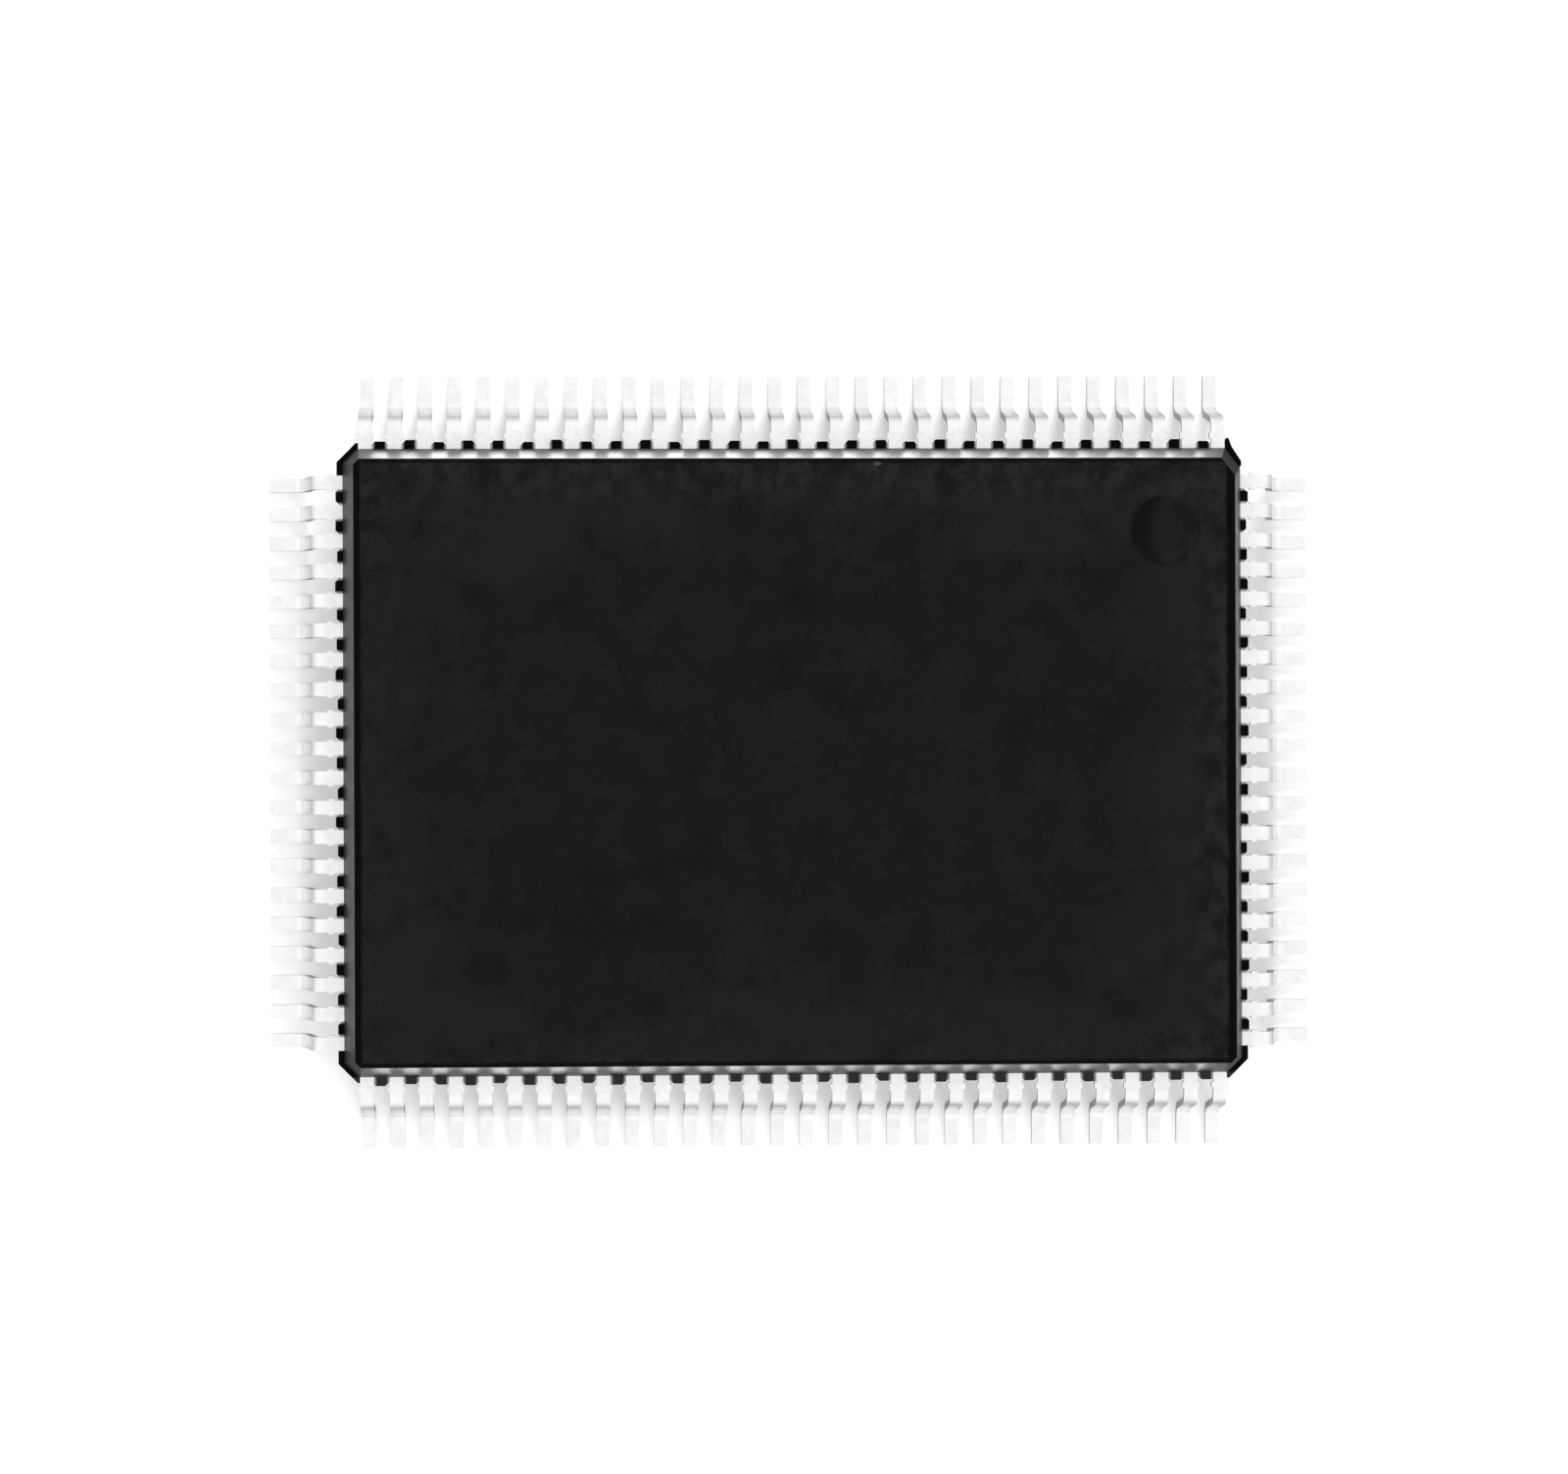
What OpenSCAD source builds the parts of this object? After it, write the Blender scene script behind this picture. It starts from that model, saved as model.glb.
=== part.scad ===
// 100-lead rectangular quad flat pack: a moulded body around a stamped lead frame,
// a silicon die on its paddle and one gold wire from the die to every lead.
// Origin: centre of the seating plane. +X runs along the long side, +Z is up.
// Lead 1 is at the +X +Y corner, beside the round index dimple. The leads count
// on anticlockwise seen from above: 1-30, 31-50, 51-80, 81-100.

/* [Moulded body] */
// Length of the body at the parting line
body_l = 19.84; // [19.8:0.02:20.1]
// Width of the body at the parting line
body_w = 13.82; // [13.8:0.02:14.1]
// Thickness of the body alone
body_h = 2.75; // [2.55:0.05:3.05]
// Gap between the seating plane and the underside of the body
standoff = 0.25; // [0.1:0.05:0.4]
// Draft of the four walls, from the vertical
draft = 12; // [8:0.5:14]
// Rounding of the edges of the top and bottom faces
edge_r = 0.07; // [0.04:0.01:0.1]
// Bevel of the three plain corners, at the parting line
corner_c = 0.32; // [0.2:0.01:0.32]
// The same bevel where it meets the top and bottom faces
corner_face_c = 0.12; // [0.1:0.01:0.2]

/* [Index dimple and ejector marks] */
// Diameter of the index dimple
dimple_d = 1.45; // [1:0.05:1.8]
// Depth of the index dimple
dimple_depth = 0.12; // [0.06:0.01:0.16]
// Distance of the dimple from the two body edges beside lead 1
dimple_in = 1.84; // [1.6:0.02:2.2]
// Diameter of the four ejector marks under the body
ejector_d = 1.6; // [1:0.1:2]
// Depth of the ejector marks
ejector_depth = 0.04; // [0.02:0.01:0.08]

/* [Leads outside the body] */
// Lead pitch, the same on all four sides
pitch = 0.65; // [0.64:0.005:0.65]
// Tip-to-tip span along X
span_l = 23.2; // [22.9:0.05:23.6]
// Tip-to-tip span along Y
span_w = 17.2; // [16.9:0.05:17.6]
// Lead width
lead_w = 0.30; // [0.24:0.01:0.34]
// Lead thickness
lead_t = 0.15; // [0.12:0.01:0.18]
// Inside radius of both lead bends
bend_r = 0.20; // [0.12:0.01:0.24]
// Angle that each bend turns through
bend_a = 82; // [76:1:88]
// Flat shoulder from the body to the first bend
shoulder = 0.40; // [0.38:0.01:0.46]

/* [Moulding flash] */
// Reach of the webs between the leads
web_out = 0.20; // [0.14:0.01:0.22]
// How far the shortest web falls short of that
web_vary = 0.05; // [0:0.01:0.06]
// Reach of the flash round the plain corners
flash_out = 0.13; // [0.08:0.01:0.16]
// Stub left on each side of a lead where the dam bar was cut
stub = 0.04; // [0.02:0.01:0.06]

/* [Lead frame inside the body] */
// Length of the die paddle
pad_l = 11.2; // [10.6:0.1:11.4]
// Width of the die paddle
pad_w = 5.8; // [5.4:0.1:6]
// How far the paddle is set down below the leads
downset = 0.20; // [0.16:0.01:0.3]
// Width of the four tie bars
tie_w = 0.20; // [0.16:0.01:0.24]
// Width of a lead just inside the body
neck_w = 0.22; // [0.18:0.01:0.24]
// Width of a lead at its inner tip
tip_w = 0.13; // [0.11:0.01:0.15]

/* [Die and wires] */
// Length of the die
die_l = 9.2; // [8.6:0.1:9.6]
// Width of the die
die_w = 4.8; // [4.4:0.1:5]
// Thickness of the die
die_t = 0.38; // [0.3:0.01:0.42]
// Thickness of the die attach
attach_t = 0.03; // [0.02:0.01:0.05]
// Diameter of the gold wire
wire_d = 0.025; // [0.02:0.001:0.033]
// Diameter of the ball on the die
ball_d = 0.07; // [0.06:0.005:0.08]
// Straight rise of a wire above the die
wire_rise = 0.10; // [0.08:0.01:0.14]

/* [Hidden] */

moulding = [0.13, 0.12, 0.125];
tin = [0.85, 0.85, 0.86];
copper = [0.80, 0.55, 0.40];
silver_glue = [0.62, 0.62, 0.60];
silicon = [0.36, 0.38, 0.44];
gold = [0.95, 0.76, 0.30];

// Leads on one long and on one short side. They set the names of the nodes, so they are fixed.
n_long = 30;
n_short = 20;

z_top = standoff + body_h;
z_lead = standoff + (body_h - lead_t) / 2;   // underside of the leads, and of the parting band
z_lead_top = z_lead + lead_t;
half_h = z_top - z_lead_top;                 // height of the upper and the lower half alike
inset = half_h * tan(draft);                 // how much each wall leans in
bx = body_l / 2;
by = body_w / 2;

z_pad = z_lead - downset;
z_pad_top = z_pad + lead_t;
z_die = z_pad_top + attach_t;
z_die_top = z_die + die_t;

// Sides in the order in which the leads count: +Y, -X, -Y, +X.
// In a side's own frame +Y points out of the body and the leads count towards -X.
function count(s) = (s % 2 == 0) ? n_long : n_short;
function edge(s) = (s % 2 == 0) ? by : bx;
function toe(s) = (s % 2 == 0) ? span_w / 2 : span_l / 2;
function tip_y(s) = (s % 2 == 0) ? 3.5 : 6.2;      // where the inner tips end
function tip_span(s) = (s % 2 == 0) ? 11.5 : 6.3;  // from the first inner tip to the last
function die_edge(s) = (s % 2 == 0) ? die_w / 2 : die_l / 2;
function pad_span(s) = ((s % 2 == 0) ? die_l : die_w) - 0.6;
tip_len = 0.5;
pad_in = 0.12;       // bond pad centres inside the edge of the die
land_in = 0.2;       // wire landing inside the tip of a lead

// Place of number j of n, counted from +X to -X over a given length
function spread(j, n, length) = ((n - 1) / 2 - j) * length / (n - 1);
function lead_x(s, j) = spread(j, count(s), pitch * (count(s) - 1));
function tip_x(s, j) = spread(j, count(s), tip_span(s));

// ---------- body ----------

// Edge of one wall in a plane square to it: from d0 at height 0 to d1 at height h,
// rounded by r into the level face
function wall(d0, d1, h, r, n = 4) =
  let (a = atan((d0 - d1) / h), cx = d1 - r * tan((90 - a) / 2), cz = h - r)
  concat([[d0, 0]], [for (i = [0:n]) let (b = a + (90 - a) * i / n) [cx + r * cos(b), cz + r * sin(b)]]);

function mirrored(points) = [for (i = [len(points) - 1:-1:0]) [-points[i][0], points[i][1]]];

// Everything on the inner side of a pair of opposite walls
module between_walls(d0) {
  side = wall(d0, d0 - inset, half_h, edge_r);
  linear_extrude(60, center = true) polygon(concat(side, mirrored(side)));
}

// Everything on the inner side of a corner bevel with legs c[0] along X and c[1] along Y
module inside_corner(c, face_c) {
  m = norm(c);
  nx = c[1] / m;
  ny = c[0] / m;
  d0 = nx * (bx - c[0]) + ny * by;
  d1 = nx * (bx - inset - c[0] * face_c / c[1]) + ny * (by - inset);
  rotate([0, 0, atan2(ny, nx)]) rotate([90, 0, 0])
    linear_extrude(60, center = true)
      polygon(concat(wall(d0, d1, half_h, edge_r), [[-30, half_h], [-30, 0]]));
}

// Legs of the four corner bevels, by the signs of X and Y. The first is the gate corner, which is longer in Y.
gate_c = [0.34, 0.44];
function corner_legs(sx, sy) = (sx > 0 && sy > 0) ? gate_c : [corner_c, corner_c];
function corner_face(sx, sy) = (sx > 0 && sy > 0) ? 0.38 : corner_face_c;

// The upper half of the body, standing on height 0
module half_body() {
  intersection() {
    rotate([90, 0, 90]) between_walls(by);
    rotate([90, 0, 0]) between_walls(bx);
    inside_corner(corner_legs(1, 1), corner_face(1, 1));
    mirror([1, 0, 0]) inside_corner(corner_legs(-1, 1), corner_face(-1, 1));
    mirror([0, 1, 0]) inside_corner(corner_legs(1, -1), corner_face(1, -1));
    rotate([0, 0, 180]) inside_corner(corner_legs(-1, -1), corner_face(-1, -1));
  }
}

// Outline of the body at the parting line
module outline() {
  polygon([for (q = [[1, 1, 0], [-1, 1, 1], [-1, -1, 0], [1, -1, 1]])
    let (c = corner_legs(q[0], q[1]),
         a = [q[0] * (bx - c[0]), q[1] * by],
         b = [q[0] * bx, q[1] * (by - c[1])])
    each (q[2] == 0 ? [b, a] : [a, b])]);
}

// Flash round a plain corner, between its two nearest leads
module corner_flash(xe, ye) {
  f = flash_out;
  c = corner_c + 0.1;
  polygon([[xe, by - 0.3], [xe, by + f], [bx + f - c, by + f], [bx + f, by + f - c],
           [bx + f, ye], [bx - 0.3, ye]]);
}

// The broken gate at the corner of lead 1
module gate_flash(xe, ye) {
  polygon([[xe, by - 0.3], [xe, by + 0.14], [xe + 0.04, by + 0.24], [xe + 0.09, by + 0.22],
           [xe + 0.16, by + 0.03], [bx + 0.02, by - 0.28], [bx + 0.03, by - 0.37],
           [bx, by - 0.42], [bx - 0.3, by - 0.44]]);
}

// Webs that filled the gaps between the leads out to the dam bar. Their ends are broken unevenly,
// a little shorter on the two short sides.
function web_reach(s, j) = web_out - 0.03 * (s % 2) - web_vary * (0.5 + 0.5 * sin(137.5 * (j + 1) + 61 * s));
function web_cut(s, j, k) = 0.07 + 0.03 * sin(97 * j + 151 * k + 40 * s);
module webs(s) {
  w = pitch - lead_w;
  for (j = [0:count(s) - 2])
    let (r = web_reach(s, j), a = web_cut(s, j, 0), b = web_cut(s, j, 1))
      translate([lead_x(s, j + 1) + lead_w / 2, edge(s)])
        polygon([[0, -0.3], [w, -0.3], [w, r - b], [w - b, r], [a, r], [0, r - a]]);
}

// Everything moulded at the height of the leads
module parting_layer() {
  xe = lead_x(0, 0) + lead_w / 2;
  ye = lead_x(1, 0) + lead_w / 2;
  linear_extrude(lead_t) {
    outline();
    for (s = [0:3]) rotate(90 * s) webs(s);
    gate_flash(xe, ye);
    mirror([1, 0]) corner_flash(xe, ye);
    mirror([0, 1]) corner_flash(xe, ye);
    rotate(180) corner_flash(xe, ye);
  }
}

module index_dimple() {
  // dished wall, flat floor
  r = dimple_d / 2;
  big = 1.5;
  up = sqrt(big * big - r * r);
  translate([bx - dimple_in, by - dimple_in, z_top])
    intersection() {
      translate([0, 0, up]) sphere(r = big, $fn = 128);
      translate([0, 0, -dimple_depth]) cylinder(h = dimple_depth + 0.2, r = r + 0.4, $fn = 96);
    }
}

module ejector_marks() {
  for (sx = [1, -1], sy = [1, -1])
    translate([sx * 7.4, sy * 4.5, standoff - 1]) cylinder(h = 1 + ejector_depth, d = ejector_d, $fn = 96);
}

module moulded_body() {
  color(moulding)
    difference() {
      union() {
        translate([0, 0, z_lead_top]) half_body();
        translate([0, 0, z_lead]) parting_layer();
        translate([0, 0, z_lead]) mirror([0, 0, 1]) half_body();
      }
      index_dimple();
      ejector_marks();
      paddle_shape();
      attach_shape();
      die_shape();
      for (s = [0:3], j = [0:count(s) - 1]) {
        lead(s, j);
        bond_wire(s, j);
      }
    }
}

// ---------- leads ----------

function unit(v) = v / norm(v);
function left_of(v) = [-v[1], v[0]];
function heading(p, i) = unit(p[i + 1] - p[i]);

// One edge of a strip along the points p with the widths w, mitred at the bends
function strip_edge(p, w, sign) = [for (i = [0:len(p) - 1])
  let (a = left_of(heading(p, max(i - 1, 0))), b = left_of(heading(p, min(i, len(p) - 2))), m = unit(a + b))
  p[i] + sign * w[i] / 2 * m / (m * a)];
function backwards(p) = [for (i = [len(p) - 1:-1:0]) p[i]];
function strip(p, w) = concat(strip_edge(p, w, 1), backwards(strip_edge(p, w, -1)));

// Sector of the bend ring, from angle a0 to a1
module bend(a0, a1) {
  am = (a0 + a1) / 2;
  intersection() {
    difference() {
      circle(bend_r + lead_t, $fn = 64);
      circle(bend_r, $fn = 64);
    }
    polygon([[0, 0], [cos(a0), sin(a0)], 1.2 * [cos(am), sin(am)], [cos(a1), sin(a1)]]);
  }
}

// Side view of the bent end of a lead: distance from the body, height
module gull_wing(reach) {
  r = bend_r;
  t = lead_t;
  leg = (z_lead_top - t - 2 * r + (2 * r + t) * cos(bend_a)) / sin(bend_a);
  heel = shoulder + (2 * r + t) * sin(bend_a) + leg * cos(bend_a);
  translate([shoulder, z_lead - r]) bend(90 - bend_a, 90);
  translate([shoulder, z_lead - r]) rotate(-bend_a) translate([0, r]) square([leg, t]);
  translate([heel, t + r]) bend(270 - bend_a, 270);
  translate([heel, 0]) square([reach - heel, t]);
}

// Lead j of side s: a fanned inner end, a flat shoulder and a gull-wing foot
module lead(s, j) {
  x = lead_x(s, j);
  e = edge(s);
  xt = tip_x(s, j);
  yt = tip_y(s);
  rotate([0, 0, 90 * s]) {
    translate([0, 0, z_lead])
      linear_extrude(lead_t) {
        polygon(strip([[x, e - 0.1], [x, e - 0.22], [xt, yt + tip_len], [xt, yt]],
                      [neck_w, neck_w, tip_w, tip_w]));
        translate([x - lead_w / 2, e - 0.1]) square([lead_w, shoulder + 0.1]);
        translate([x - lead_w / 2 - stub, e + web_out + 0.01]) square([lead_w + 2 * stub, 0.14]);
      }
    translate([x - lead_w / 2, e, 0]) rotate([90, 0, 90]) linear_extrude(lead_w) gull_wing(toe(s) - e);
  }
}

// Leads number a to b, counted anticlockwise from the index dimple
function side_of(k) = k <= n_long ? 0 : k <= n_long + n_short ? 1 : k <= 2 * n_long + n_short ? 2 : 3;
function first_on(s) = [1, n_long + 1, n_long + n_short + 1, 2 * n_long + n_short + 1][s];
module leads(a, b) {
  color(tin) for (k = [a:b]) lead(side_of(k), k - first_on(side_of(k)));
}

module leads_1_to_10() { leads(1, 10); }
module leads_11_to_20() { leads(11, 20); }
module leads_21_to_30() { leads(21, 30); }
module leads_31_to_40() { leads(31, 40); }
module leads_41_to_50() { leads(41, 50); }
module leads_51_to_60() { leads(51, 60); }
module leads_61_to_70() { leads(61, 70); }
module leads_71_to_80() { leads(71, 80); }
module leads_81_to_90() { leads(81, 90); }
module leads_91_to_100() { leads(91, 100); }

// ---------- die paddle with its tie bars ----------

// The bars run midway between the last leads of two sides, out to the corner bevels,
// where the flash covers their ends
tie_a = [(tip_x(0, 0) + tip_y(1) + tip_len) / 2, (tip_y(0) + tip_len + tip_x(1, 0)) / 2];
tie_b = [(lead_x(0, 0) + bx - 0.22) / 2, (by - 0.22 + lead_x(1, 0)) / 2];
tie_dir = unit(tie_b - tie_a);
tie_root = tie_a - 1.35 * tie_dir;

module tie_bar() {
  t = lead_t;
  translate([tie_root[0], tie_root[1], z_pad])
    rotate([0, 0, atan2(tie_dir[1], tie_dir[0])])
      translate([0, tie_w / 2, 0]) rotate([90, 0, 0])
        linear_extrude(tie_w)
          polygon([[0, 0], [0.48, 0], [0.8, downset], [8, downset], [8, downset + t],
                   [0.77, downset + t], [0.45, t], [0, t]]);
}

module paddle_shape() {
  translate([-pad_l / 2, -pad_w / 2, z_pad]) cube([pad_l, pad_w, lead_t]);
  intersection() {
    union() {
      tie_bar();
      mirror([1, 0, 0]) tie_bar();
      mirror([0, 1, 0]) tie_bar();
      rotate([0, 0, 180]) tie_bar();
    }
    translate([0, 0, z_pad - 1]) linear_extrude(4) outline();
  }
}
module die_paddle() { color(copper) paddle_shape(); }

// ---------- die and its attach ----------

module attach_shape() {
  m = 0.12;
  translate([-die_l / 2 - m, -die_w / 2 - m, z_pad_top]) cube([die_l + 2 * m, die_w + 2 * m, attach_t]);
}
module die_attach() { color(silver_glue) attach_shape(); }

module die_shape() {
  translate([-die_l / 2, -die_w / 2, z_die]) cube([die_l, die_w, die_t]);
}
module silicon_die() { color(silicon) die_shape(); }

// ---------- bond wires ----------

ball_h = 0.02;
wire_fall = z_die_top - z_lead_top;

// Six points round a station of a wire: place [x, z], heading above level, half width, half thickness
function ring(x, z, a, w, h) = [for (i = [0:5]) let (c = cos(60 * i), q = sin(60 * i))
  [x - h * q * sin(a), w * c, z + h * q * cos(a)]];

// A wire over a span d along +X: ball on the die at the origin, rise, knee, long run, flat stitch on the lead
module wire_run(d) {
  r = wire_d / 2;
  b = ball_d / 2;
  knee = [0.085, wire_rise + 0.08];
  low = [d - 0.03, 0.016 - wire_fall];
  a = atan((low[1] - knee[1]) / (low[0] - knee[0]));
  flat = 0.006;
  bed = flat * sin(60) - wire_fall;
  rings = [
    ring(0, 0, 90, b, b),
    ring(0, 0.8 * ball_h, 90, b, b),
    ring(0, 1.1 * ball_h, 90, r, r),
    ring(0, wire_rise, 90, r, r),
    ring(0.022, wire_rise + 0.055, 50, r, r),
    ring(knee[0], knee[1], a / 2, r, r),
    ring(low[0], low[1], a, r, r),
    ring(d, bed, 0, 2.2 * r, flat),
    ring(d + 0.04, bed, 0, 2.2 * r, flat)
  ];
  n = len(rings);
  polyhedron(
    points = [for (q = rings) each q],
    faces = concat(
      [[for (i = [0:5]) i]],
      [for (k = [0:n - 2], i = [0:5]) let (m = (i + 1) % 6)
        each [[6 * k + i, 6 * k + 6 + i, 6 * k + 6 + m], [6 * k + i, 6 * k + 6 + m, 6 * k + m]]],
      [[for (i = [5:-1:0]) 6 * (n - 1) + i]]));
}

module bond_wire(s, j) {
  p = [spread(j, count(s), pad_span(s)), die_edge(s) - pad_in];
  q = [tip_x(s, j), tip_y(s) + land_in];
  rotate([0, 0, 90 * s]) translate([p[0], p[1], z_die_top])
    rotate([0, 0, atan2(q[1] - p[1], q[0] - p[0])]) wire_run(norm(q - p));
}

module bond_wires(a, b) {
  color(gold) for (k = [a:b]) bond_wire(side_of(k), k - first_on(side_of(k)));
}

module bond_wires_1_to_10() { bond_wires(1, 10); }
module bond_wires_11_to_20() { bond_wires(11, 20); }
module bond_wires_21_to_30() { bond_wires(21, 30); }
module bond_wires_31_to_40() { bond_wires(31, 40); }
module bond_wires_41_to_50() { bond_wires(41, 50); }
module bond_wires_51_to_60() { bond_wires(51, 60); }
module bond_wires_61_to_70() { bond_wires(61, 70); }
module bond_wires_71_to_80() { bond_wires(71, 80); }
module bond_wires_81_to_90() { bond_wires(81, 90); }
module bond_wires_91_to_100() { bond_wires(91, 100); }

moulded_body();
die_paddle();
die_attach();
silicon_die();
leads_1_to_10();
leads_11_to_20();
leads_21_to_30();
leads_31_to_40();
leads_41_to_50();
leads_51_to_60();
leads_61_to_70();
leads_71_to_80();
leads_81_to_90();
leads_91_to_100();
bond_wires_1_to_10();
bond_wires_11_to_20();
bond_wires_21_to_30();
bond_wires_31_to_40();
bond_wires_41_to_50();
bond_wires_51_to_60();
bond_wires_61_to_70();
bond_wires_71_to_80();
bond_wires_81_to_90();
bond_wires_91_to_100();
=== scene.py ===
import math

import bpy
import bmesh
from mathutils import Vector, Matrix


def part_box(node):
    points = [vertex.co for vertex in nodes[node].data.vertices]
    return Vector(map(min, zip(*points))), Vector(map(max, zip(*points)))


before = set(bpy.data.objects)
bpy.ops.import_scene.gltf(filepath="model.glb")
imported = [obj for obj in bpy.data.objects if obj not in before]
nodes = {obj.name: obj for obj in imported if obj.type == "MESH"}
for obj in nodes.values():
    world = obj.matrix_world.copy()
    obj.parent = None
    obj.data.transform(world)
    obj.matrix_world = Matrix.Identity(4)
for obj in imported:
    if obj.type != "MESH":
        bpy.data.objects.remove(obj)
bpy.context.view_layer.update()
MM = 0.001


# ---------------------------------------------------------------- node helpers

def new_material(name):
    m = bpy.data.materials.new(name)
    m.use_nodes = True
    m.node_tree.nodes.clear()
    return m


class Tree:
    """Short calls for a shader node tree. Places and sizes in it are in millimetres of the shared frame."""

    def __init__(self, material):
        self.t = material.node_tree
        self.n = self.t.nodes
        coords = self.n.new("ShaderNodeTexCoord")
        scale = self.n.new("ShaderNodeVectorMath")
        scale.operation = "SCALE"
        scale.inputs["Scale"].default_value = 1000.0
        self.link(coords.outputs["Object"], scale.inputs[0])
        self.place = scale.outputs["Vector"]

    def link(self, a, b):
        self.t.links.new(a, b)

    def put(self, socket, value):
        if isinstance(value, bpy.types.NodeSocket):
            self.link(value, socket)
        elif isinstance(value, (tuple, list)) and len(value) == 3 and socket.type == "RGBA":
            socket.default_value = (*value, 1.0)
        else:
            socket.default_value = value

    def math(self, op, a, b=0.0, c=None, clamp=False):
        n = self.n.new("ShaderNodeMath")
        n.operation = op
        n.use_clamp = clamp
        self.put(n.inputs[0], a)
        self.put(n.inputs[1], b)
        if c is not None:
            self.put(n.inputs[2], c)
        return n.outputs[0]

    def xyz(self, vector=None):
        n = self.n.new("ShaderNodeSeparateXYZ")
        self.link(self.place if vector is None else vector, n.inputs[0])
        return n.outputs[0], n.outputs[1], n.outputs[2]

    def normal(self):
        n = self.n.new("ShaderNodeNewGeometry")
        return self.xyz(n.outputs["True Normal"])

    def stretch(self, sx, sy, sz, vector=None):
        n = self.n.new("ShaderNodeMapping")
        self.link(self.place if vector is None else vector, n.inputs["Vector"])
        n.inputs["Scale"].default_value = (sx, sy, sz)
        return n.outputs[0]

    def noise(self, scale, detail=3.0, rough=0.5, vector=None, distort=0.0):
        n = self.n.new("ShaderNodeTexNoise")
        self.link(self.place if vector is None else vector, n.inputs["Vector"])
        n.inputs["Scale"].default_value = scale
        n.inputs["Detail"].default_value = detail
        n.inputs["Roughness"].default_value = rough
        n.inputs["Distortion"].default_value = distort
        return n.outputs["Fac"]

    def cells(self, scale, feature="F1", vector=None, output="Distance"):
        n = self.n.new("ShaderNodeTexVoronoi")
        n.feature = feature
        self.link(self.place if vector is None else vector, n.inputs["Vector"])
        n.inputs["Scale"].default_value = scale
        return n.outputs[output]

    def ramp(self, value, low, high, to_low=0.0, to_high=1.0, smooth=True):
        n = self.n.new("ShaderNodeMapRange")
        n.interpolation_type = "SMOOTHSTEP" if smooth else "LINEAR"
        n.clamp = True
        self.put(n.inputs["Value"], value)
        for name, v in (("From Min", low), ("From Max", high), ("To Min", to_low), ("To Max", to_high)):
            self.put(n.inputs[name], v)
        return n.outputs["Result"]

    def mix(self, fac, a, b):
        n = self.n.new("ShaderNodeMix")
        n.data_type = "RGBA"
        self.put(n.inputs["Factor"], fac)
        self.put([s for s in n.inputs if s.name == "A" and s.type == "RGBA"][0], a)
        self.put([s for s in n.inputs if s.name == "B" and s.type == "RGBA"][0], b)
        return [s for s in n.outputs if s.type == "RGBA"][0]

    def bump(self, height, strength, distance, normal=None):
        n = self.n.new("ShaderNodeBump")
        n.inputs["Strength"].default_value = strength
        n.inputs["Distance"].default_value = distance
        self.link(height, n.inputs["Height"])
        if normal is not None:
            self.link(normal, n.inputs["Normal"])
        return n.outputs["Normal"]

    def finish(self, colour, roughness, normal, **constant):
        b = self.n.new("ShaderNodeBsdfPrincipled")
        self.put(b.inputs["Base Color"], colour)
        self.put(b.inputs["Roughness"], roughness)
        if normal is not None:
            self.link(normal, b.inputs["Normal"])
        for name, v in constant.items():
            b.inputs[name.replace("_", " ")].default_value = v
        out = self.n.new("ShaderNodeOutputMaterial")
        self.link(b.outputs[0], out.inputs["Surface"])
        return b


# ---------------------------------------------------------------- materials

# the body as part.scad has it, in mm
BX, BY = 9.92, 6.91          # half body at the parting line
FX, FY = 9.644, 6.634        # half of the top face
DIMPLE = (8.08, 5.07)


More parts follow.
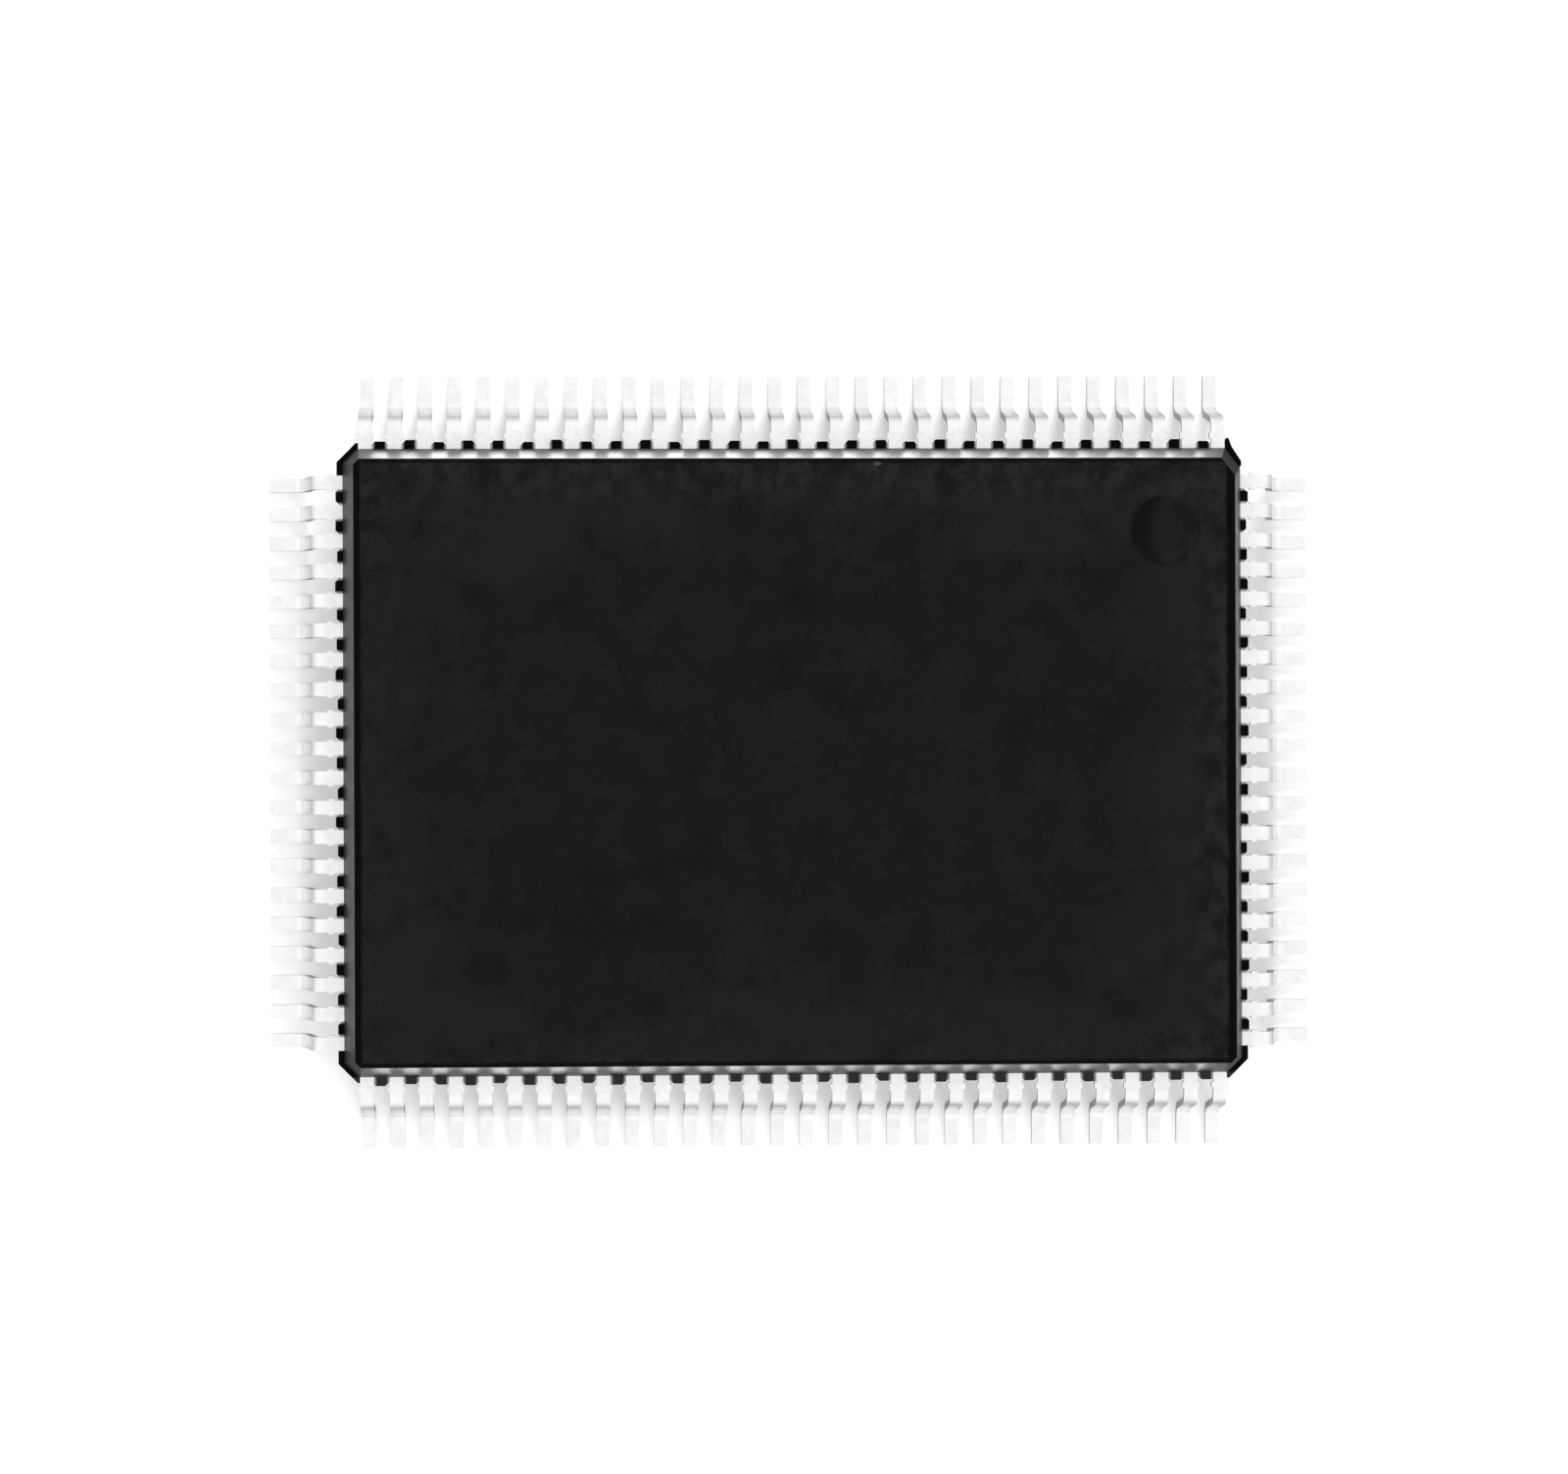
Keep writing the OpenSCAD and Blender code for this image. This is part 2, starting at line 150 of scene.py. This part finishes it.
def moulding_compound():
    m = new_material("epoxy_moulding_compound")
    t = Tree(m)
    x, y, z = t.xyz()
    nx, ny, nz = t.normal()
    ax, ay = t.math("ABSOLUTE", x), t.math("ABSOLUTE", y)
    steep = t.math("ABSOLUTE", nz)

    # distance from the border of the faces, its bevelled corners included
    edge = t.math("MINIMUM", t.math("SUBTRACT", FX, ax), t.math("SUBTRACT", FY, ay))
    bevel = t.math("MULTIPLY", t.math("SUBTRACT", FX + FY - 0.12, t.math("ADD", ax, ay)), 0.7071)
    gate = t.math("SUBTRACT", 0.791 * (FX - 0.294) + 0.611 * FY,
                  t.math("ADD", t.math("MULTIPLY", x, 0.791), t.math("MULTIPLY", y, 0.611)))
    edge = t.math("MINIMUM", edge, t.math("MINIMUM", bevel, gate))

    # slightly browner towards the border of the faces, with an uneven limit
    drift = t.noise(0.30, 4.0, 0.6)
    uneven = t.math("ADD", edge, t.math("MULTIPLY", t.math("SUBTRACT", drift, 0.5), 9.0))
    border = t.ramp(uneven, 0.5, 3.6, 1.0, 0.0)
    colour = t.mix(border, (0.0046, 0.0047, 0.0047), (0.0078, 0.0066, 0.0069))
    # cloudy resin, darker patches, filler grains
    cloud = t.ramp(t.noise(1.1, 5.0, 0.62), 0.35, 0.7)
    colour = t.mix(t.math("MULTIPLY", cloud, 0.45), colour, (0.0080, 0.0075, 0.0073))
    patch = t.noise(0.9, 5.0, 0.66, t.stretch(0.8, 1.0, 0.5))
    colour = t.mix(t.math("MULTIPLY", t.ramp(patch, 0.48, 0.72), 0.5), colour, (0.0018, 0.0020, 0.0019))
    speck = t.noise(4.5, 4.0, 0.6)
    colour = t.mix(t.math("MULTIPLY", t.ramp(speck, 0.55, 0.75), 0.30), colour, (0.0096, 0.0094, 0.0090))
    grain = t.ramp(t.noise(22.0, 2.0, 0.6), 0.60, 0.78)
    colour = t.mix(t.math("MULTIPLY", grain, 0.30), colour, (0.021, 0.020, 0.019))
    # blotches along the +X and +Y borders
    blotch = t.ramp(t.noise(2.6, 4.0, 0.65, t.stretch(1.0, 0.8, 1.0)), 0.36, 0.64, -1.0, 1.0)
    near = t.math("MULTIPLY", t.ramp(edge, 1.5, 0.2), t.ramp(t.math("MAXIMUM", t.math("SUBTRACT", x, FX - 1.5), t.math("SUBTRACT", y, FY - 1.5)), -0.6, 0.6, 0.35, 1.0))
    near = t.math("MULTIPLY", near, blotch)
    colour = t.mix(t.math("MULTIPLY", near, 0.55, clamp=True), colour, (0.0150, 0.0136, 0.0132))
    colour = t.mix(t.math("MULTIPLY", near, -0.60, clamp=True), colour, (0.0028, 0.0027, 0.0027))

    # drafted walls: a smoother resin skin, with a greyer colour than the spark-eroded faces that is painted sheen for
    # the light band round the face
    wall = t.math("MULTIPLY", t.ramp(steep, 0.85, 0.45), t.ramp(steep, 0.05, 0.15))
    wall_skin_and_sheen = t.mix(t.ramp(t.noise(4.0, 4.0, 0.6, t.stretch(1, 1, 0.4)), 0.35, 0.7), (0.016, 0.016, 0.0165), (0.026, 0.0255, 0.025))
    colour = t.mix(wall, colour, wall_skin_and_sheen)
    broken = t.math("MULTIPLY", t.math("GREATER_THAN", t.math("ADD", t.math("MULTIPLY", nx, 0.6), t.math("MULTIPLY", ny, 0.8)), 0.90),
                    t.math("MULTIPLY", t.math("GREATER_THAN", nx, 0.3), t.math("GREATER_THAN", ny, 0.3)))
    colour = t.mix(broken, colour, t.mix(t.noise(9.0, 4.0, 0.7), (0.004, 0.004, 0.004), (0.020, 0.019, 0.018)))

    # painted shade: a dark line just inside the edge of the face
    wander = t.math("MULTIPLY", t.math("SUBTRACT", t.noise(2.2, 3.0, 0.6), 0.5), 0.09)
    right = t.math("GREATER_THAN", x, 0.0)
    wander_x = t.math("SUBTRACT", t.math("MULTIPLY", wander, t.math("ADD", 1.0, right)), t.math("MULTIPLY", right, 0.05))
    line_x = t.ramp(t.math("ADD", t.math("SUBTRACT", FX, ax), wander_x), 0.19, 0.10)
    line_y = t.ramp(t.math("ADD", t.math("SUBTRACT", FY, ay), wander), 0.13, 0.06, 0.0, 0.85)
    edge_shade = t.math("MULTIPLY", t.math("MAXIMUM", line_x, line_y), t.ramp(steep, 0.35, 0.6))
    colour = t.mix(edge_shade, colour, (0.0004, 0.0004, 0.0004))

    # index dimple, smoother than the face, darkened by painted shade of the recess
    dx, dy = t.math("SUBTRACT", x, DIMPLE[0]), t.math("SUBTRACT", y, DIMPLE[1])
    r = t.math("SQRT", t.math("ADD", t.math("MULTIPLY", dx, dx), t.math("MULTIPLY", dy, dy)))
    above = t.math("GREATER_THAN", z, 2.5)
    dish = t.math("MULTIPLY", t.ramp(r, 0.75, 0.71), above)
    # painted shade in the dimple: a dark crescent on the -X side, a fainter arc on the +X side, a thin dark ring all
    # round
    painted_shade_crescent = t.math("MULTIPLY", t.ramp(t.math("ADD", dx, t.math("MULTIPLY", t.math("MULTIPLY", dy, dy), -0.35)), -0.05, -0.45), dish)
    painted_shade_arc = t.math("MULTIPLY", t.math("MULTIPLY", t.ramp(r, 0.36, 0.48), t.ramp(r, 0.72, 0.62)), t.ramp(dx, 0.1, 0.4))
    painted_shade_ring = t.math("MULTIPLY", t.math("MULTIPLY", t.ramp(r, 0.70, 0.74), t.ramp(r, 0.82, 0.77)), above)
    colour = t.mix(t.math("MULTIPLY", dish, t.ramp(t.noise(1.7, 3.0, 0.6), 0.35, 0.65, 0.10, 0.50)), colour, (0.0046, 0.0052, 0.0050))
    colour = t.mix(t.math("MULTIPLY", painted_shade_crescent, 0.92), colour, (0.0012, 0.0014, 0.0014))
    colour = t.mix(t.math("MULTIPLY", t.math("MULTIPLY", painted_shade_arc, above), t.ramp(t.noise(2.4, 3.0, 0.6), 0.40, 0.60, 0.0, 0.45)), colour, (0.0020, 0.0022, 0.0022))
    colour = t.mix(t.math("MULTIPLY", painted_shade_ring, t.ramp(t.noise(1.5, 3.0, 0.6, t.stretch(1, 1, 0)), 0.42, 0.60, 0.0, 0.65)), colour, (0.0016, 0.0016, 0.0016))

    # a pale fleck on the face beside the +Y edge
    fx = t.math("DIVIDE", t.math("SUBTRACT", x, 1.79), 0.085)
    fy = t.math("DIVIDE", t.math("SUBTRACT", y, 6.51), 0.05)
    fr = t.math("ADD", t.math("MULTIPLY", fx, fx), t.math("MULTIPLY", fy, fy))
    fleck = t.math("MULTIPLY", t.ramp(t.math("ADD", fr, t.math("MULTIPLY", t.noise(9.0), 0.8)), 1.9, 0.5), above)
    colour = t.mix(t.math("MULTIPLY", fleck, 0.8), colour, (0.050, 0.049, 0.048))

    # webs and flash outside the body outline: the flash is real, and its near-black colour is painted shade of the
    # gaps between the leads
    outside = t.math("MAXIMUM", t.math("GREATER_THAN", ax, BX + 0.002), t.math("GREATER_THAN", ay, BY + 0.002))
    outside = t.math("MAXIMUM", outside, t.math("GREATER_THAN", t.math("ADD", ax, ay), BX + BY - 0.318))
    long_side = t.math("GREATER_THAN", ay, BY)
    along = t.math("ADD", t.math("MULTIPLY", x, long_side), t.math("MULTIPLY", y, t.math("SUBTRACT", 1.0, long_side)))
    off_gap = t.math("PINGPONG", along, 0.325)
    # tin rubbed onto the webs beside the leads
    rub = t.math("MULTIPLY", t.ramp(off_gap, 0.10, 0.165), t.math("LESS_THAN", off_gap, 0.30))
    reach = t.math("SUBTRACT", 9.3, t.math("MULTIPLY", 3.25, t.math("SUBTRACT", 1.0, long_side)))
    rub = t.math("MULTIPLY", rub, t.math("LESS_THAN", t.math("ABSOLUTE", along), reach))
    # the webs on the -Y side are painted lighter: painted light on that side
    front = t.math("LESS_THAN", y, -BY)
    web = t.mix(front, (0.0008, 0.0008, 0.0008), (0.030, 0.028, 0.029))
    web = t.mix(t.math("MULTIPLY", rub, 0.85), web, (0.42, 0.42, 0.41))
    colour = t.mix(outside, colour, web)

    rough = t.math("ADD", 0.76, t.math("MULTIPLY", t.noise(2.3, 4.0, 0.6), 0.18))
    rough = t.math("SUBTRACT", rough, t.math("MULTIPLY", t.math("MULTIPLY", wall, t.math("SUBTRACT", 1.0, broken)), 0.45))
    rough = t.math("SUBTRACT", rough, t.math("MULTIPLY", dish, 0.06))

    fine = t.noise(26.0, 3.0, 0.62)
    pits = t.cells(17.0)
    height = t.math("ADD", t.math("MULTIPLY", fine, 0.7), t.math("MULTIPLY", pits, 0.3))
    height = t.math("MULTIPLY", height, t.math("SUBTRACT", 1.0, t.math("MULTIPLY", wall, 0.85)))
    normal = t.bump(height, 0.55, 0.006 * MM)
    normal = t.bump(t.noise(1.4, 3.0, 0.5), 0.25, 0.02 * MM, normal)
    t.finish(colour, rough, normal, Specular_IOR_Level=0.087)
    return m


def tin_plate():
    m = new_material("matte_tin_plate")
    t = Tree(m)
    x, y, z = t.xyz()
    nx, ny, nz = t.normal()
    ax, ay = t.math("ABSOLUTE", x), t.math("ABSOLUTE", y)
    colour = t.mix(t.ramp(t.noise(3.0, 5.0, 0.62), 0.32, 0.72), (0.96, 0.96, 0.955), (0.88, 0.88, 0.87))
    colour = t.mix(t.math("MULTIPLY", t.ramp(t.noise(11.0, 3.0, 0.6), 0.6, 0.75), 0.4), colour, (0.74, 0.73, 0.71))
    # bare copper on the sheared toe ends, partly smeared over with tin
    toe = t.math("MAXIMUM",
                 t.math("MULTIPLY", t.math("GREATER_THAN", ax, 11.592), t.math("GREATER_THAN", t.math("ABSOLUTE", nx), 0.8)),
                 t.math("MULTIPLY", t.math("GREATER_THAN", ay, 8.592), t.math("GREATER_THAN", t.math("ABSOLUTE", ny), 0.8)))
    bare = t.math("MULTIPLY", toe, t.ramp(t.noise(10.0, 3.0, 0.6), 0.34, 0.66, 0.15, 0.9))
    colour = t.mix(bare, colour, (0.60, 0.40, 0.30))
    rough = t.math("ADD", 0.34, t.math("MULTIPLY", t.noise(7.0, 4.0, 0.6), 0.18))
    fine = t.noise(48.0, 3.0, 0.6)
    drawn = t.noise(30.0, 2.0, 0.5, t.stretch(0.12, 1.0, 1.0))
    normal = t.bump(fine, 0.45, 0.004 * MM)
    normal = t.bump(drawn, 0.15, 0.003 * MM, normal)
    t.finish(colour, rough, normal, Metallic=1.0)
    return m


def copper_alloy():
    m = new_material("stamped_copper_alloy")
    t = Tree(m)
    colour = t.mix(t.ramp(t.noise(2.0, 4.0, 0.6), 0.3, 0.7), (0.78, 0.45, 0.30), (0.66, 0.36, 0.24))
    rough = t.math("ADD", 0.30, t.math("MULTIPLY", t.noise(6.0, 3.0, 0.6), 0.2))
    rolled = t.noise(30.0, 2.0, 0.5, t.stretch(0.08, 1.0, 1.0))
    normal = t.bump(rolled, 0.3, 0.003 * MM)
    t.finish(colour, rough, normal, Metallic=1.0)
    return m


def silver_epoxy():
    m = new_material("silver_filled_epoxy")
    t = Tree(m)
    flake = t.cells(24.0, output="Color")
    s = t.xyz(flake)[0]
    colour = t.mix(s, (0.36, 0.36, 0.35), (0.58, 0.58, 0.56))
    rough = t.math("ADD", 0.40, t.math("MULTIPLY", s, 0.25))
    normal = t.bump(t.noise(12.0, 4.0, 0.6), 0.5, 0.01 * MM)
    t.finish(colour, rough, normal, Metallic=0.6)
    return m


def silicon():
    m = new_material("passivated_silicon")
    t = Tree(m)
    x, y, z = t.xyz()
    nx, ny, nz = t.normal()
    ax, ay = t.math("ABSOLUTE", x), t.math("ABSOLUTE", y)
    top = t.math("GREATER_THAN", nz, 0.5)
    # blocks of logic and memory as cells of a coarse grid
    block = t.xyz(t.cells(0.9, vector=t.stretch(1.0, 1.4, 0.001), output="Color"))[0]
    rows = t.ramp(t.math("PINGPONG", t.math("MULTIPLY", y, 14.0), 1.0), 0.35, 0.65)
    colour = t.mix(block, (0.10, 0.12, 0.17), (0.22, 0.19, 0.26))
    colour = t.mix(t.math("MULTIPLY", t.math("MULTIPLY", rows, top), 0.25), colour, (0.34, 0.33, 0.30))
    # seal ring near the border of the die
    edge = t.math("MINIMUM", t.math("SUBTRACT", 4.6, ax), t.math("SUBTRACT", 2.4, ay))
    ring = t.math("MULTIPLY", t.math("LESS_THAN", t.math("ABSOLUTE", t.math("SUBTRACT", edge, 0.05)), 0.012), top)
    colour = t.mix(ring, colour, (0.55, 0.52, 0.45))
    colour = t.mix(top, (0.13, 0.135, 0.15), colour)
    rough = t.math("ADD", 0.16, t.math("MULTIPLY", t.noise(5.0, 2.0, 0.5), 0.12))
    normal = t.bump(t.noise(40.0, 2.0, 0.5), 0.15, 0.001 * MM)
    t.finish(colour, rough, normal, Metallic=0.2, Coat_Weight=0.4, Coat_Roughness=0.1)
    return m


def gold():
    m = new_material("drawn_gold")
    t = Tree(m)
    colour = t.mix(t.noise(9.0, 3.0, 0.6), (0.98, 0.72, 0.28), (0.88, 0.60, 0.20))
    rough = t.math("ADD", 0.18, t.math("MULTIPLY", t.noise(20.0, 3.0, 0.6), 0.15))
    normal = t.bump(t.noise(90.0, 2.0, 0.5), 0.2, 0.001 * MM)
    t.finish(colour, rough, normal, Metallic=1.0)
    return m


FINISH = {
    "moulding_compound": moulding_compound(),
    "tinned_lead": tin_plate(),
    "lead_frame_alloy": copper_alloy(),
    "silver_epoxy": silver_epoxy(),
    "silicon": silicon(),
    "gold_wire": gold(),
}


def slot_of(name):
    if name == "moulded_body":
        return "moulding_compound"
    if name.startswith("leads"):
        return "tinned_lead"
    if name.startswith("bond"):
        return "gold_wire"
    return {"die_paddle": "lead_frame_alloy", "die_attach": "silver_epoxy", "silicon_die": "silicon"}[name]


for name, o in nodes.items():
    for s in o.material_slots:
        s.material = FINISH[slot_of(name)]

# ---------------------------------------------------------------- stage, light and camera

body_lo, body_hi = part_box("moulded_body")
lead_z = 1.60 * MM

stage_mesh = bpy.data.meshes.new("floor")
h = 1.2
stage_mesh.from_pydata([(-h, -h, 0), (h, -h, 0), (h, h, 0), (-h, h, 0)], [], [(0, 1, 2, 3)])
floor = bpy.data.objects.new("floor", stage_mesh)
bpy.context.scene.collection.objects.link(floor)

fm = new_material("pale_floor")
ft = Tree(fm)
paint = ft.n.new("ShaderNodeBsdfDiffuse")
paint.inputs["Color"].default_value = (0.78, 0.78, 0.78, 1)
glow = ft.n.new("ShaderNodeEmission")
both = ft.n.new("ShaderNodeAddShader")
ft.link(paint.outputs[0], both.inputs[0])
ft.link(glow.outputs[0], both.inputs[1])
clear = ft.n.new("ShaderNodeBsdfTransparent")
geo = ft.n.new("ShaderNodeNewGeometry")
ray = ft.n.new("ShaderNodeLightPath")
ft.link(ft.math("ADD", 0.06, ft.math("MULTIPLY", ray.outputs["Is Camera Ray"], 0.29)), glow.inputs["Strength"])
# the leads mirror the floor dimmed, so that they stand out against it
dark = ft.n.new("ShaderNodeEmission")
dark.inputs["Strength"].default_value = 0.0
dim = ft.n.new("ShaderNodeMixShader")
ft.link(ft.math("MULTIPLY", ray.outputs["Is Glossy Ray"], 0.55), dim.inputs[0])
ft.link(both.outputs[0], dim.inputs[1])
ft.link(dark.outputs[0], dim.inputs[2])
pick = ft.n.new("ShaderNodeMixShader")
ft.link(ft.math("MAXIMUM", geo.outputs["Backfacing"], ray.outputs["Is Shadow Ray"]), pick.inputs[0])
ft.link(dim.outputs[0], pick.inputs[1])
ft.link(clear.outputs[0], pick.inputs[2])
out = ft.n.new("ShaderNodeOutputMaterial")
ft.link(pick.outputs[0], out.inputs["Surface"])
stage_mesh.materials.append(fm)

world = bpy.data.worlds.new("studio")
bpy.context.scene.world = world
world.use_nodes = True
wt = world.node_tree
wt.nodes.clear()
bg = wt.nodes.new("ShaderNodeBackground")
bg.inputs["Color"].default_value = (1.0, 1.0, 1.0, 1)
bg.inputs["Strength"].default_value = 1.05
wo = wt.nodes.new("ShaderNodeOutputWorld")
wt.links.new(bg.outputs[0], wo.inputs["Surface"])


def area_light(name, place, size, power, colour=(1, 1, 1)):
    d = bpy.data.lights.new(name, "AREA")
    d.shape = "SQUARE"
    d.size = size
    d.energy = power
    d.color = colour
    o = bpy.data.objects.new(name, d)
    o.location = place
    o.rotation_mode = "QUATERNION"
    o.rotation_quaternion = (Vector(place)).to_track_quat("Z", "Y")
    o.visible_glossy = False     # no white-out in the leads that face a lamp
    bpy.context.scene.collection.objects.link(o)
    return o


area_light("key", (0.10, 0.36, 0.13), 0.22, 2.4)
area_light("fill", (0.16, -0.36, 0.13), 0.22, 1.0)

# low strip lights on the floor around the body, which only its smooth walls mirror
body_only = bpy.data.collections.new("body_only")
body_only.objects.link(nodes["moulded_body"])


def strip_light(name, x0, x1, y0, y1, radiance, diffuse=False):
    d = bpy.data.lights.new(name, "AREA")
    d.shape = "RECTANGLE"
    d.size, d.size_y = (x1 - x0) * MM, (y1 - y0) * MM
    d.energy = 4.0 * radiance * d.size * d.size_y
    o = bpy.data.objects.new(name, d)
    o.location = (0.5 * (x0 + x1) * MM, 0.5 * (y0 + y1) * MM, 0.02 * MM)
    o.rotation_euler = (math.pi, 0.0, 0.0)
    o.visible_camera = o.visible_transmission = o.visible_volume_scatter = False
    o.visible_diffuse = diffuse
    o.light_linking.receiver_collection = body_only
    bpy.context.scene.collection.objects.link(o)


strip_light("strip_back", -9.3, 9.3, BY, BY + 7.5, 10.8)
strip_light("strip_front", -9.3, 9.3, -BY - 2.0, -BY, 7.2)
strip_light("strip_left", -BX - 2.0, -BX, -6.4, 6.4, 0.9)
strip_light("strip_right", BX, BX + 2.0, -6.4, 6.4, 1.2)
strip_light("strip_under", -9.3, 9.3, -6.3, 6.3, 2.4, diffuse=True)

cam_data = bpy.data.cameras.new("camera")
cam_data.sensor_width = 36.0
cam = bpy.data.objects.new("camera", cam_data)
bpy.context.scene.collection.objects.link(cam)
bpy.context.scene.camera = cam

DISTANCE = 0.125
PX_PER_MM = 46.19            # at 1600 px across
cam_data.lens = 36.0 * DISTANCE / (1600.0 / PX_PER_MM * MM)
aim = Vector((0.0, 0.0, lead_z))
back = Vector((-0.046, 0.0, 1.0)).normalized()
up = (Vector((0, 1, 0)) - back * back.y).normalized()
right = up.cross(back).normalized()
turn = math.radians(0.20)     # the chip lies a little anticlockwise in the frame
up, right = up * math.cos(turn) + right * math.sin(turn), right * math.cos(turn) - up * math.sin(turn)
# the chip's centre falls 9.9 px right of the middle of the frame and 25.0 px below it
off_x, off_y = 9.9 / PX_PER_MM * MM, 25.0 / PX_PER_MM * MM
cam.location = aim + back * DISTANCE - right * off_x + up * off_y
cam.rotation_mode = "QUATERNION"
cam.rotation_quaternion = Matrix((right, up, back)).transposed().to_quaternion()
cam_data.clip_start = 0.005
cam_data.clip_end = 5.0

view = bpy.context.scene.view_settings
view.view_transform = "Standard"
view.look = "None"
view.exposure = 0.0
view.gamma = 1.0
